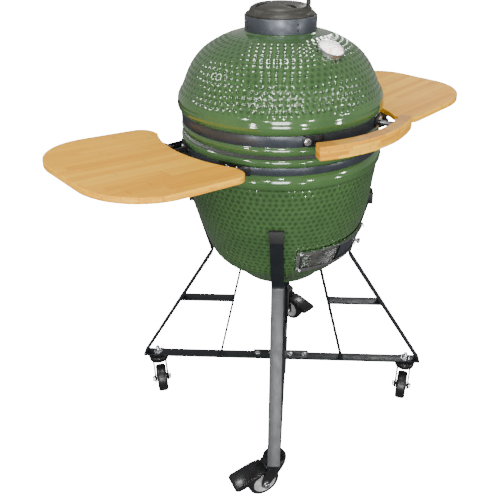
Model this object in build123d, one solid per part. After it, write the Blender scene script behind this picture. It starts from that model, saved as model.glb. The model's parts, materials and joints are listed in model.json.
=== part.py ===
from build123d import *
import math
import os

# A green ceramic kamado charcoal grill on a flat-bar stand with casters and two folding
# bamboo shelves. Millimetres, +Z up, front towards -Y, kamado axis on Z, casters on z = 0.
# Angles called "bearing" are measured from the front, positive towards +X.

# ---------------------------------------------------------------- driving dimensions
RIM_Z = 924.0  # flat rim of the lower ceramic shell
GASKET_T = 4.0  # thickness of each felt gasket
SEAM = 0.3  # gap between parts that move past each other
FIT = 0.05  # radial clearance of pins in moving holes
LID_Z = RIM_Z + 2 * GASKET_T + SEAM  # lowest face of the ceramic lid

BULGE_R = 270.0  # widest radius of the lower shell
DOME_R = 267.0  # widest radius of the lid
SHELL_INNER_R = 238.0  # inside radius of both shells at the seam
BAND_T = 2.5  # steel strap thickness
BASE_BAND = (886.0, 905.0)  # lower strap, bottom and top
LID_BAND = (954.0, 981.0)  # upper strap, bottom and top
BASE_SEAT_R = 259.5  # shell radius under the lower strap
LID_SEAT_R = 257.5  # shell radius under the upper strap

BAR_W, BAR_T = 35.0, 6.0  # flat bar of the stand
BAR_Z = 123.0  # underside of the floor bars
FRAME_BEARINGS = {"front_left": -45.0, "front_right": 45.0, "rear_right": 135.0, "rear_left": -135.0}
LEG_FOOT = (458.45, BAR_Z + BAR_T)  # (radius, height) of the leg's bend points
LEG_KNEE = (204.0, 537.0)
LEG_TOP = (250.0, 715.0)
STRUT_FOOT = (202.0, BAR_Z + BAR_T)
STRUT_TOP = (119.0, 488.0)
RUNG_Z = 353.0
PLATE_T = 5.0  # cross connector
PLATE_BOLT_R = (31.0, 78.0)  # bolt radii on each arm of the cross

STEM_R = 416.0  # caster stems from the kamado axis
WHEEL_R, WHEEL_W = 46.0, 32.0
TRAIL = 38.0  # caster axle behind its stem
CASTER_HEADINGS = {"front_left": 165.0, "front_right": -149.0, "rear_right": -85.0, "rear_left": -116.0}
BRAKED = ("front_left", "rear_right")

VENT_Z = (590.0, 662.0)  # draft door frame, bottom and top
VENT_HALF = 32.5  # half of its angle about the kamado
PANEL_SPAN = 28.9  # angle of each sliding panel
PANEL_GAP = 0.4  # angle from the middle of the frame to each panel
FRAME_DEPTH, LIP_OUT = 9.5, 8.3  # front and back of the rail lips, off the bowl
RAIL_T, POST_SPAN = 3.0, 2.2  # rail height, and angle of each end post
SCREEN_OUT, SCREEN_T = 3.0, 1.2  # the screen slides behind the door
DOOR_OUT, DOOR_T = 5.6, 1.5
KNOB_Z, KNOB_BEARING = 627.0, 21.5
HANDLE_R = (313.0, 345.0)  # handle, inner and outer radius
HANDLE_Z = (951.0, 984.0)
HANDLE_HALF = 28.5

HINGE_Y, HINGE_Z, HINGE_PIN_R = 304.0, 930.0, 6.0
SHELF_PIVOT = (298.0, 900.0)  # (distance from the axis, height)
SHELF_TILT = 4.3  # the boards rise outwards by this angle
SHELF_ROOT, SHELF_TIP, SHELF_HALF, SHELF_T = 327.0, 615.0, 216.0, 14.0
SHELF_TOP_Z = 930.0  # top of the board at its inner edge
ARM_Y = 100.0  # shelf arms, from the middle of the shelf

COLLAR_R, COLLAR_Z = 90.0, (1168.3, 1203.0)
CHIMNEY_R = 62.0
LEAF_HALF, LEAF_R, LEAF_BEARING, LEAF_SWIRL = 21.0, 51.0, 71.5, 26.0  # draught openings of the damper
DAMPER_KNOB = (71.0, 26.0)  # (radius, bearing)
GAUGE_R, GAUGE_AT, GAUGE_LEAN = 33.0, (169.4, 1141.5), 65.0  # dial radius, (radius, height), tilt

os.makedirs("parts", exist_ok=True)


# ---------------------------------------------------------------- helpers
def save(name, *pieces):
    """Write one node: one solid, or a group of separate solids."""
    solids = [s for piece in pieces for s in piece.solids()]
    export_step(Compound(solids) if len(solids) > 1 else solids[0], f"parts/{name}.step")


def turned(face, arc=360.0, bearing=0.0):
    """Revolve a face drawn in (radius, height) about Z, centred on a bearing."""
    solid = revolve(Plane.XZ * face, Axis.Z, revolution_arc=arc)
    return Rot(0, 0, bearing - 90 - arc / 2) * solid if arc < 360 else solid


def outline(*points):
    """A flat face with straight sides."""
    return make_face(Polyline(*points, close=True))


def ring(inner, outer, low, high, arc=360.0, bearing=0.0):
    return turned(outline((inner, low), (outer, low), (outer, high), (inner, high)), arc, bearing)


def block(x, y, z):
    """A box from three (low, high) pairs."""
    size = [high - low for low, high in (x, y, z)]
    middle = [(high + low) / 2 for low, high in (x, y, z)]
    return Pos(*middle) * Box(*size)


def rod(start, end, radius):
    """A round bar between two points."""
    start, end = Vector(*start), Vector(*end)
    return Solid.make_cylinder(radius, (end - start).length, Plane(start, z_dir=end - start))


def hexagon(start, end, across):
    """A hexagonal nut or head between two points."""
    start, end = Vector(*start), Vector(*end)
    plane = Plane(start, z_dir=end - start)
    return extrude(plane * RegularPolygon(across / 2, 6, major_radius=False), (end - start).length)


def slab(points, half_width):
    """A plate drawn in (x, z) and extruded both ways along Y."""
    return extrude(Plane.XZ * outline(*points), half_width, both=True)


def at_bearing(bearing, radius=0.0):
    """Move a piece built along +X out to a bearing about the kamado."""
    return Rot(0, 0, bearing - 90) * Pos(radius, 0, 0)


def strip(path, thickness, half_width, cut_start=None, cut_end=None):
    """One convex bar for each span of a path in (x, z), mitred where spans meet."""
    spans = [Vector(*b) - Vector(*a) for a, b in zip(path, path[1:])]
    normals = [Vector(-s.Y, s.X).normalized() for s in spans]
    cuts = [Vector(*cut_start) if cut_start else normals[0]]
    cuts += [(a + b).normalized() for a, b in zip(normals, normals[1:])]
    cuts.append(Vector(*cut_end) if cut_end else normals[-1])
    bars = []
    for i, normal in enumerate(normals):
        corners = []
        for side, vertex in ((1, i), (1, i + 1), (-1, i + 1), (-1, i)):
            reach = side * thickness / 2 / cuts[vertex].dot(normal)
            corner = Vector(*path[vertex]) + cuts[vertex] * reach
            corners.append((corner.X, corner.Y))
        bars.append(slab(corners, half_width))
    return bars


# ---------------------------------------------------------------- ceramic shells
BOWL_OUTER = ((100, 490), (132, 512), (192, 565), (219, 625), (238, 685), (251, 745), (258, 805), (262, 845))
BOWL_INNER = ((238, 905), (234, 790), (214, 665), (186, 600), (150, 560), (90, 528))
DOME_OUTER = ((267, 1006), (255, 1036), (241, 1066), (224, 1095), (199, 1122), (156, 1148), (95, 1166))
DOME_INNER = ((66, 1148), (120, 1132), (166, 1110), (202, 1076), (222, 1040), (234, 1000), (238, 965))


def bowl_side():
    """Outer edges of the lower shell, from its foot up to its rim."""
    top = BASE_BAND[1] + 1
    return [
        Line((0, 490), BOWL_OUTER[0]),
        Spline(*BOWL_OUTER, tangents=((1, 0), (0.02, 1))),
        ThreePointArc((262, 845), (BULGE_R, 867), (262, BASE_BAND[0] - 2)),
        Polyline((262, BASE_BAND[0] - 2), (BASE_SEAT_R, BASE_BAND[0]), (BASE_SEAT_R, top), (260, top)),
        ThreePointArc((260, top), (264, (top + RIM_Z) / 2), (260, RIM_Z)),
    ]


def base_shell():
    inside = [
        Line((260, RIM_Z), (SHELL_INNER_R, RIM_Z)),
        Line((SHELL_INNER_R, RIM_Z), BOWL_INNER[0]),
        Spline(*BOWL_INNER, tangents=((0, -1), (-1, -0.1))),
        Line(BOWL_INNER[-1], (0, 528)),
        Line((0, 528), (0, 490)),
    ]
    opening = block((-88, 88), (-260, -120), (VENT_Z[0] + 14, VENT_Z[1] - 14))
    return turned(make_face(bowl_side() + inside)) - opening


def dome_side():
    """Outer edges of the lid, from its lip up to the chimney seat."""
    low, high = LID_BAND
    return [
        ThreePointArc((257, LID_Z), (261.5, (LID_Z + low - 2) / 2), (258.5, low - 2)),
        Polyline((258.5, low - 2), (LID_SEAT_R, low - 1), (LID_SEAT_R, high + 1), (261, high + 1)),
        ThreePointArc((261, high + 1), (DOME_R + 0.5, 993), DOME_OUTER[0]),
        Spline(*DOME_OUTER, tangents=((0, 1), (-1, 0.15))),
        Polyline(DOME_OUTER[-1], (92, COLLAR_Z[0]), (CHIMNEY_R, COLLAR_Z[0])),
    ]


def dome_blank():
    """The lid's outer form as one solid, to fit other parts against."""
    edges = dome_side() + [Line((CHIMNEY_R, COLLAR_Z[0]), (0, COLLAR_Z[0]))]
    edges += [Line((0, COLLAR_Z[0]), (0, LID_Z)), Line((0, LID_Z), (257, LID_Z))]
    return turned(make_face(edges))


def dome_shell():
    inside = [
        Polyline((CHIMNEY_R, COLLAR_Z[0]), (CHIMNEY_R, 1150), DOME_INNER[0]),
        Spline(*DOME_INNER, tangents=((1, -0.1), (0, -1))),
        Polyline(DOME_INNER[-1], (SHELL_INNER_R, LID_Z), (257, LID_Z)),
    ]
    shell = turned(make_face(dome_side() + inside))
    return shell - gauge_frame() * Cylinder(6.5, 90)


def bowl_blank():
    """The lower shell's outer form as one solid, to fit other parts against."""
    edges = bowl_side() + [Line((260, RIM_Z), (0, RIM_Z)), Line((0, RIM_Z), (0, 490))]
    return turned(make_face(edges))


# ---------------------------------------------------------------- inside the kamado
def fire_box():
    wall = outline(
        (0, 545), (120, 545), (150, 577), (188, 640), (199, 725), (183, 725), (172, 645), (136, 588),
        (110, 562), (0, 562),
    )
    holes = [at_bearing(60 * i, 70) * Pos(0, 0, 550) * Cylinder(9, 50) for i in range(6)]
    notch = block((-34, 34), (-230, -120), (606, 642))
    return turned(wall) - holes - notch


def fire_ring():
    return turned(outline((180, 725.5), (222, 725.5), (225, 838), (209, 838), (205, 738), (180, 735)))


def charcoal_grate():
    plate = Pos(0, 0, 592) * Cylinder(133, 8)
    slots = [block((-110, 110), (y - 5, y + 5), (580, 600)) for y in (-20, 0, 20)]
    slots += [block((-88, 88), (y - 5, y + 5), (580, 600)) for y in (-80, -60, -40, 40, 60, 80)]
    return plate - slots


def cooking_grid():
    """Steel rods let into a round rim, resting on the fire ring."""
    radius, wire, spacing = 217.0, 3.0, 18.0
    centre_z = 838 + wire
    count = int(radius // spacing)
    grid = [Pos(0, 0, centre_z) * Torus(radius, wire)]
    for i in range(-count, count + 1):
        reach = math.sqrt(radius**2 - (i * spacing) ** 2)
        grid.append(rod((i * spacing, -reach, centre_z), (i * spacing, reach, centre_z), 2.2))
    return Part() + grid


# ---------------------------------------------------------------- straps, hinge and handle
def strap_plate(inner, low, high, arc, bearing):
    """A curved plate bolted onto a strap."""
    return ring(inner, inner + 3, low, high, arc, bearing)


def strap_bolts(radius, height, bearings, head=7.0, length=5.0):
    """Bolt heads that stand out radially."""
    start, end = (radius + 0.1, 0, height), (radius + length, 0, height)
    return [at_bearing(b) * hexagon(start, end, 2 * head) for b in bearings]


BASE_PLATE_R = BASE_SEAT_R + BAND_T + 0.6
LID_PLATE_R = LID_SEAT_R + BAND_T + 0.6


def ear(x, reach, low, high, hole, pivot):
    """A hinge ear at the back: a plate across X with a round hole for the pin."""
    plate = block(x, (BASE_PLATE_R - 4, reach), (low, high))
    nose = rod((x[0], pivot[0], pivot[1]), (x[1], pivot[0], pivot[1]), 14)
    bore = rod((x[0] - 1, pivot[0], pivot[1]), (x[1] + 1, pivot[0], pivot[1]), hole)
    return plate + nose - bore


def hinge_brackets():
    pivot = (HINGE_Y, HINGE_Z)
    base_low, base_high = BASE_BAND[0] + 1, BASE_BAND[1] + 2
    lid_low, lid_high = LID_BAND[0] - 1, LID_BAND[1] - 1
    base = strap_plate(BASE_PLATE_R, base_low, base_high, 32, 180)
    lid = strap_plate(LID_PLATE_R, lid_low, lid_high, 28, 180)
    for side in (-1, 1):
        outer = sorted((side * 58, side * 64))
        inner = sorted((side * 50, side * 55))
        base += ear(outer, HINGE_Y, base_low, base_high, HINGE_PIN_R, pivot)
        base += block(outer, (HINGE_Y - 22, HINGE_Y), (900, 930)) - rod(
            (outer[0] - 1, *pivot), (outer[1] + 1, *pivot), HINGE_PIN_R
        )
        lid += ear(inner, HINGE_Y, lid_low, lid_high, HINGE_PIN_R + FIT, pivot)
        lid += block(inner, (HINGE_Y - 18, HINGE_Y + 10), (934, 975)) - rod(
            (inner[0] - 1, *pivot), (inner[1] + 1, *pivot), HINGE_PIN_R + FIT
        )
    base -= turned(outline((0, 800), (BASE_PLATE_R, 800), (BASE_PLATE_R, 1000), (0, 1000)))
    lid_core = [(0, 800), (LID_PLATE_R, 800), (LID_PLATE_R, 981), (272, 984), (272, 1000), (0, 1000)]
    lid -= turned(outline(*lid_core))
    return base, lid


def handle_brackets():
    pieces = []
    for side in (-1, 1):
        plate = strap_plate(LID_PLATE_R, 955, 980, 11, side * 26)
        shelf = ring(LID_PLATE_R + 3, HANDLE_R[0] - 3, 963, 968, 5.5, side * 23.75)
        flange = ring(HANDLE_R[0] - 3, HANDLE_R[0], 954, 981, 5.5, side * 23.75)
        pieces.append(plate + shelf + flange)
    return pieces


# ---------------------------------------------------------------- damper and thermometer
def leaf_vents(low, high):
    """Four leaf-shaped openings, swirled about the axis."""
    tip, tail = (-LEAF_HALF, 0), (LEAF_HALF, 0)
    leaf = make_face([ThreePointArc(tip, (4, 9), tail), ThreePointArc(tail, (4, -8), tip)])
    leaf = Pos(0, 0, low) * Rot(0, 0, LEAF_SWIRL) * extrude(leaf, high - low)
    return [at_bearing(LEAF_BEARING + 90 * i, LEAF_R) * leaf for i in range(4)]


def damper_collar():
    low, high = COLLAR_Z
    section = outline((CHIMNEY_R + 2, low), (COLLAR_R, low), (COLLAR_R, high), (86, high), (82, 1199),
                      (0, 1199), (0, 1194), (CHIMNEY_R + 8, 1194), (CHIMNEY_R + 2, 1188))
    return turned(section) - leaf_vents(1190, 1201)


def damper_cap():
    low = COLLAR_Z[1] + SEAM
    edges = [
        Spline((0, 1231), (38, 1229.2), (68, 1224), (78, 1213), tangents=((1, 0), (0.2, -1))),
        Polyline((78, 1213), (86, 1207), (86, low), (74, low), (70, 1212), (60, 1219)),
        Spline((60, 1219), (34, 1224.2), (0, 1226), tangents=((-1, 0.4), (-1, 0))),
        Line((0, 1226), (0, 1231)),
    ]
    return turned(make_face(edges)) - leaf_vents(1200, 1240) - knob_post()


def knob_post():
    radius, bearing = DAMPER_KNOB
    return at_bearing(bearing) * rod((radius, 0, 1212), (radius, 0, 1239), 6)


def gauge_frame():
    """Thermometer frame: origin on the dome, Z out of the dial."""
    radius, height = GAUGE_AT
    lean = math.radians(GAUGE_LEAN)
    return Location(Plane((0, -radius, height), x_dir=(1, 0, 0), z_dir=(0, -math.cos(lean), math.sin(lean))))


def thermometer():
    bottom = (Align.CENTER, Align.CENTER, Align.MIN)
    cup = Pos(0, 0, -9) * Cylinder(GAUGE_R, 17, align=bottom) - Pos(0, 0, 2) * Cylinder(29, 20, align=bottom)
    probe = Pos(0, 0, -62) * Cylinder(4, 62, align=bottom)
    housing = gauge_frame() * cup - dome_blank() + gauge_frame() * probe
    dial = gauge_frame() * (Pos(0, 0, 2) * Cylinder(28.9, 1, align=bottom))
    glass = gauge_frame() * (Pos(0, 0, 6) * Cylinder(28.9, 1.5, align=bottom))
    needle = Pos(0, 0, 3.6) * Cylinder(2.5, 1.8, align=bottom) + block((-1.2, 1.2), (-8, 24), (3.6, 4.8))
    return housing, dial, glass, gauge_frame() * (Rot(0, 0, 125) * needle)


# ---------------------------------------------------------------- draft door
def vent_radius(height):
    """The bowl's radius behind the draft door, as a cone."""
    low, high = 207.6, 233.0
    return low + (high - low) * (height - VENT_Z[0]) / (VENT_Z[1] - VENT_Z[0])


def vent_skin(out, depth, low, high, arc, bearing):
    """Part of a conical sheet that stands off the bowl by out."""
    corners = [(vent_radius(low) + out, low), (vent_radius(low) + out + depth, low)]
    corners += [(vent_radius(high) + out + depth, high), (vent_radius(high) + out, high)]
    return turned(outline(*corners), arc, bearing)


def vent_rail(wall, lip_end):
    """A channel of L section that follows the cone: a web off the bowl and a lip in front of the panels."""
    inner = wall + math.copysign(RAIL_T, lip_end - wall)
    points = [(vent_radius(wall), wall), (vent_radius(wall) + FRAME_DEPTH, wall)]
    points += [(vent_radius(lip_end) + FRAME_DEPTH, lip_end), (vent_radius(lip_end) + LIP_OUT, lip_end)]
    points += [(vent_radius(inner) + LIP_OUT, inner), (vent_radius(inner), inner)]
    return turned(outline(*points), 2 * VENT_HALF, 0)


def vent_frame():
    """Two channels that hold the sliding panels, joined by a post at each end."""
    low, high = VENT_Z
    rails = [vent_rail(low, low + 13), vent_rail(high, high - 7)]
    posts = []
    for side in (-1, 1):
        middle = side * (VENT_HALF - POST_SPAN / 2)
        posts.append(vent_skin(0, LIP_OUT, low + RAIL_T, high - RAIL_T, POST_SPAN, middle))
    return rails + posts


def vent_panels():
    """The solid door and the perforated screen."""
    low, high = VENT_Z[0] + 4, VENT_Z[1] - 4
    centre = PANEL_SPAN / 2 + PANEL_GAP
    door = vent_skin(DOOR_OUT, DOOR_T, low, high, PANEL_SPAN, centre)
    screen = vent_skin(SCREEN_OUT, SCREEN_T, low, high, PANEL_SPAN, -centre)
    height = (low + high) / 2
    holes = []
    for row in (-1, 0, 1):
        for i in range(11):
            z = height + 13 * row
            start = (150, 0, z)
            holes.append(at_bearing(-centre + 2.3 * (i - 5)) * rod(start, (260, 0, z), 3.4))
    return door, screen - holes


def draft_door_knob(door):
    radius = vent_radius(KNOB_Z) + DOOR_OUT
    knob = rod((radius, 0, KNOB_Z), (radius + 13, 0, KNOB_Z), 5)
    knob += rod((radius + 11, 0, KNOB_Z), (radius + 17, 0, KNOB_Z), 8)
    return (at_bearing(KNOB_BEARING) * knob - door).solids().sort_by(SortBy.VOLUME)[-1]


# ---------------------------------------------------------------- stand
def stand_frame(bearing):
    """One quarter of the stand: floor bar, bent leg, strut and rung."""
    place = at_bearing(bearing)
    half = BAR_W / 2
    floor = block((half + 1, 462), (-half, half), (BAR_Z, BAR_Z + BAR_T))
    floor -= [Pos(x, 0, BAR_Z) * Cylinder(4.2, 40) for x in PLATE_BOLT_R]
    floor -= Pos(STEM_R, 0, BAR_Z) * Cylinder(6.2, 40)
    leg = strip([LEG_FOOT, LEG_KNEE, LEG_TOP], BAR_T, half, cut_start=(1, 0))
    strut = strip([STRUT_FOOT, STRUT_TOP], BAR_T, half, cut_start=(1, 0), cut_end=(1, 0))
    rung = block((149.5, 317), (-half, half), (RUNG_Z, RUNG_Z + BAR_T)) - leg - strut
    return [place * piece for piece in (floor, *leg, *strut, rung)]


def cross_connector():
    arms = [Rot(0, 0, 45 + 90 * i) * block((-92, 92), (-20, 20), (129, 129 + PLATE_T)) for i in (0, 1)]
    places = [at_bearing(b, x) for b in FRAME_BEARINGS.values() for x in PLATE_BOLT_R]
    return Part() + arms - [place * Pos(0, 0, 131) * Cylinder(4.2, 40) for place in places]


def connector_bolt(bearing, radius):
    top = BAR_Z + BAR_T + PLATE_T
    bolt = rod((0, 0, BAR_Z - 8), (0, 0, top), 4)
    bolt += rod((0, 0, top), (0, 0, top + 4.5), 7.5) + hexagon((0, 0, BAR_Z - 6), (0, 0, BAR_Z), 13)
    return at_bearing(bearing, radius) * bolt


def bowl_pads():
    """Rubber pads between the stand and the bowl: one on each leg top, one on each strut."""
    blank = bowl_blank()
    pads = []
    for bearing in FRAME_BEARINGS.values():
        place = at_bearing(bearing)
        leg = strip([LEG_FOOT, LEG_KNEE, LEG_TOP], BAR_T, 30, cut_start=(1, 0))[1]
        cap = slab([(243, 704), (243, 737), (261, 737), (261, 704)], 19) - leg
        cap = (place * cap - blank).solids().sort_by(SortBy.VOLUME)[-1]
        foot = place * block((104, 134), (-14, 14), (STRUT_TOP[1], 506)) - blank
        foot = foot.solids().sort_by(SortBy.VOLUME)[-1]
        pads += [cap, foot]
    return pads


def caster_stem(bearing):
    top = BAR_Z + BAR_T
    stem = rod((0, 0, 106), (0, 0, 113), 5) + rod((0, 0, 113), (0, 0, BAR_Z), 33)
    stem += rod((0, 0, BAR_Z), (0, 0, 152), 6) + hexagon((0, 0, top), (0, 0, top + 9), 19)
    return at_bearing(bearing, STEM_R) * stem


def caster_place(name):
    """Where a caster's stem stands, turned to its heading."""
    bearing = math.radians(FRAME_BEARINGS[name])
    x, y = STEM_R * math.sin(bearing), -STEM_R * math.cos(bearing)
    return Pos(x, y, 0) * Rot(0, 0, CASTER_HEADINGS[name])


PEDAL_PIVOT = (29.0, 98.4)
FORK_TOP = 113 - SEAM


def caster_fork():
    fork = rod((0, 0, 103.5), (0, 0, FORK_TOP), 31) - rod((0, 0, 105), (0, 0, FORK_TOP + 1), 5 + FIT)
    cheek = [(-22, 105), (31, 105), (50, 62), (51, 44), (44, 34), (32, 34), (22, 46), (-10, 84)]
    for side in (-1, 1):
        fork += Pos(0, side * 20.5, 0) * slab(cheek, 2.5)
        fork += hexagon((TRAIL, side * 23, WHEEL_R), (TRAIL, side * 30, WHEEL_R), 15)
    fork += rod((TRAIL, -24, WHEEL_R), (TRAIL, 24, WHEEL_R), 5)
    return fork


def caster_wheel():
    bore = rod((TRAIL, -40, WHEEL_R), (TRAIL, 40, WHEEL_R), 5 + FIT)
    hub = rod((TRAIL, -14, WHEEL_R), (TRAIL, 14, WHEEL_R), 33)
    hub += rod((TRAIL, -17, WHEEL_R), (TRAIL, 17, WHEEL_R), 12)
    tyre = rod((TRAIL, -WHEEL_W / 2, WHEEL_R), (TRAIL, WHEEL_W / 2, WHEEL_R), WHEEL_R)
    tyre = fillet(tyre.edges(), 5) - rod((TRAIL, -40, WHEEL_R), (TRAIL, 40, WHEEL_R), 33)
    return hub - bore, tyre


def brake_pedal():
    """A broad foot pedal over the wheel, with a lug that hangs on the pin between the cheeks."""
    x, z = PEDAL_PIVOT
    top = [(37, 102), (64, 100), (124, 84), (131, 77), (129, 73), (120, 75), (62, 93.5), (37, 96.5)]
    pedal = slab(top, 25)
    pedal += rod((x, -17.5, z), (x, 17.5, z), 4.3) + block((x, 40), (-17.5, 17.5), (96.5, 101))
    for side in (-1, 1):
        skirt = [(54, 99), (124, 83), (129, 75), (121, 69), (102, 71), (54, 90)]
        pedal += Pos(0, side * 26.5, 0) * slab(skirt, 1.5)
    return pedal - rod((x, -40, z), (x, 40, z), 3 + FIT)


# ---------------------------------------------------------------- shelves
def shelf_place(side):
    """Shelves are built flat on +X with the pivot at the origin, then tilted and placed."""
    turn = 0 if side > 0 else 180
    return Rot(0, 0, turn) * Pos(SHELF_PIVOT[0], 0, SHELF_PIVOT[1]) * Rot(0, -SHELF_TILT, 0)


def shelf_board():
    root, tip = 285 - SHELF_PIVOT[0], SHELF_TIP - SHELF_PIVOT[0]
    top = SHELF_TOP_Z - SHELF_PIVOT[1] - 2.2
    face = Pos((root + tip) / 2, 0) * Rectangle(tip - root, 2 * SHELF_HALF)
    face = fillet(face.vertices().group_by(Axis.X)[-1], 150)
    face = fillet(face.vertices().group_by(Axis.X)[0], 38)
    face -= Pos(-SHELF_PIVOT[0], 0) * Circle(SHELF_ROOT)
    horns = [v for v in face.vertices() if v.X < 5 and abs(v.Y) < 170]
    face = fillet(horns, 12)
    board = Pos(0, 0, top - SHELF_T) * extrude(face, SHELF_T)
    return fillet(board.faces().sort_by(Axis.Z)[-1].edges(), 2)


def shelf_arms():
    top = SHELF_TOP_Z - SHELF_PIVOT[1] - 2.2 - SHELF_T
    arms = []
    for y in (-ARM_Y, ARM_Y):
        arm = block((0, 262), (y - 20, y + 20), (top - 5, top)) + rod((0, y - 20, 0), (0, y + 20, 0), 7)
        arm += block((-7, 7), (y - 20, y + 20), (0, top))
        arms.append(arm - rod((0, y - 40, 0), (0, y + 40, 0), 3 + FIT))
    return arms


def shelf_brackets(side):
    """Clevis brackets on the lower strap, with their pivot pins."""
    place = Rot(0, 0, 0 if side > 0 else 180)
    inside = turned(outline((0, 800), (BASE_PLATE_R, 800), (BASE_PLATE_R, 950), (0, 950)))
    brackets, pins = [], []
    for y in (-ARM_Y, ARM_Y):
        plate = strap_plate(BASE_PLATE_R, 884, 907, 18, 90 + math.copysign(22.5, y))
        ears = []
        for edge in (-23.0, 23.0):
            middle = (y + edge - 2, y + edge + 2)
            ears.append(block((230, SHELF_PIVOT[0]), middle, (886, 906)))
            nose = [(SHELF_PIVOT[0], end, SHELF_PIVOT[1]) for end in middle]
            ears.append(rod(*nose, 8))
        pin = [rod((SHELF_PIVOT[0], y - 27, SHELF_PIVOT[1]), (SHELF_PIVOT[0], y + 27, SHELF_PIVOT[1]), 3)]
        brackets.append(place * (Part() + ears - inside + plate - pin))
        pins.append(place * pin[0])
    return brackets, pins


# ---------------------------------------------------------------- write every node
save("base_shell", base_shell())
save("base_band", ring(BASE_SEAT_R + 0.2, BASE_SEAT_R + BAND_T, *BASE_BAND))
save("base_gasket", ring(241, 257, RIM_Z, RIM_Z + GASKET_T))
save("fire_box", fire_box())
save("fire_ring", fire_ring())
save("charcoal_grate", charcoal_grate())
save("cooking_grid", cooking_grid())
save("vent_frame", *vent_frame())
vent_corners = [(b, z) for b in (-VENT_HALF + 2.6, VENT_HALF - 2.6) for z in (VENT_Z[0] + 6, VENT_Z[1] - 5)]
vent_heads = [rod((vent_radius(z) + 11.2, 0, z), (vent_radius(z) + 15, 0, z), 4.5) for _, z in vent_corners]
save("vent_bolts", *[at_bearing(corner[0]) * head for corner, head in zip(vent_corners, vent_heads)])

door, screen = vent_panels()
save("draft_door", door)
save("draft_door_knob", draft_door_knob(door))
save("draft_screen", screen)

base_bracket, lid_bracket = hinge_brackets()
save("hinge_base_bracket", base_bracket)
save("hinge_lid_bracket", lid_bracket)
save("hinge_pin", rod((-70, HINGE_Y, HINGE_Z), (70, HINGE_Y, HINGE_Z), HINGE_PIN_R))
springs = []
for side in (-1, 1):
    coil = rod((side * 6, HINGE_Y, HINGE_Z), (side * 46, HINGE_Y, HINGE_Z), 12)
    springs.append(coil - rod((-60, HINGE_Y, HINGE_Z), (60, HINGE_Y, HINGE_Z), HINGE_PIN_R + 1))
save("hinge_springs", *springs)

save("dome_shell", dome_shell())
save("lid_band", ring(LID_SEAT_R + 0.2, LID_SEAT_R + BAND_T, *LID_BAND))
save("lid_gasket", ring(241, 257, RIM_Z + GASKET_T + SEAM, LID_Z))
grip = ring(*HANDLE_R, *HANDLE_Z, 2 * HANDLE_HALF, 0)
save("handle_grip", fillet(grip.edges(), 2.5))
save("handle_brackets", *handle_brackets())
save("handle_bolts", *strap_bolts(LID_PLATE_R + 3, 967.5, (-29.2, 29.2)))
save("damper_collar", damper_collar())
save("damper_cap", damper_cap())
save("damper_knob", knob_post())
housing, dial, glass, needle = thermometer()
save("thermometer_housing", housing)
save("thermometer_dial", dial)
save("thermometer_glass", glass)
save("thermometer_needle", needle)

for name, bearing in FRAME_BEARINGS.items():
    save(f"stand_frame_{name}", *stand_frame(bearing))
save("cross_connector", cross_connector())
save("connector_bolts", *[connector_bolt(b, x) for b in FRAME_BEARINGS.values() for x in PLATE_BOLT_R])
save("bowl_pads", *bowl_pads())
save("caster_stems", *[caster_stem(b) for b in FRAME_BEARINGS.values()])
for name in FRAME_BEARINGS:
    place = caster_place(name)
    fork = caster_fork()
    if name in BRAKED:
        x, z = PEDAL_PIVOT
        fork += rod((x, -22, z), (x, 22, z), 3)
        save(f"brake_pedal_{name}", place * brake_pedal())
    save(f"caster_fork_{name}", place * fork)
    hub, tyre = caster_wheel()
    save(f"caster_wheel_{name}", place * hub)
    save(f"caster_tyre_{name}", place * tyre)

all_brackets, all_pins = [], []
for name, side in (("left", -1), ("right", 1)):
    save(f"shelf_board_{name}", shelf_place(side) * shelf_board())
    save(f"shelf_arms_{name}", *[shelf_place(side) * arm for arm in shelf_arms()])
    brackets, pins = shelf_brackets(side)
    all_brackets += brackets
    all_pins += pins
save("shelf_brackets", *all_brackets)
save("shelf_pins", *all_pins)
plate_bolts = [quarter + step for quarter in (-68, 68, -112, 112) for step in (-3, 3)]
save("strap_bolts", *strap_bolts(BASE_PLATE_R + 3, 895.5, plate_bolts, 5.5, 4.5))
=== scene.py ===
import json
import random
from math import atan2, cos, degrees, pi, radians, sin, sqrt, tan

import bmesh
import bpy
import numpy as np
from mathutils import Matrix, Vector

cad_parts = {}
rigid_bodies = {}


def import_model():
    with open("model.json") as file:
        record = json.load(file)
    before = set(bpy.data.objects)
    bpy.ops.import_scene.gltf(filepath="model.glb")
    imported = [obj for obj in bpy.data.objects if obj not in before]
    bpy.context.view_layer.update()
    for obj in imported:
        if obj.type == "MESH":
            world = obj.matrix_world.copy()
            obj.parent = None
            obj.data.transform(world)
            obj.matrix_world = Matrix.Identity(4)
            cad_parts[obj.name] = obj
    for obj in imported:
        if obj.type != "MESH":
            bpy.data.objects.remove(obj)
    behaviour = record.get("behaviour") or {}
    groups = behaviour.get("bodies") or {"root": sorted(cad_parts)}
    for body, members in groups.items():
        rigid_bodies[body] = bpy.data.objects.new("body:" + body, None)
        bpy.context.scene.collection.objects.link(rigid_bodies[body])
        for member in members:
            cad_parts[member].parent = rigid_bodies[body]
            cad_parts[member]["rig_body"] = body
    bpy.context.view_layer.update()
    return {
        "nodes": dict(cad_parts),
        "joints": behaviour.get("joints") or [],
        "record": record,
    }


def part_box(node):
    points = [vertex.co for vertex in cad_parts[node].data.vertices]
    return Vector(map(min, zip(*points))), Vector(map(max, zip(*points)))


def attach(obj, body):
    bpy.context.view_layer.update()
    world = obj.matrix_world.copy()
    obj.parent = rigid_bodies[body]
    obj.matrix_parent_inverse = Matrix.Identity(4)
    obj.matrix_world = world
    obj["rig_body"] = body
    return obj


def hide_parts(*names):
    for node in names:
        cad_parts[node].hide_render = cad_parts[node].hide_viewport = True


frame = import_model()
NODES = frame["nodes"]
JOINTS = {joint["name"]: joint for joint in frame["joints"]}
CORNERS = ("front_left", "front_right", "rear_right", "rear_left")
SIDES = ("left", "right")
MM = 0.001

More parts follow.
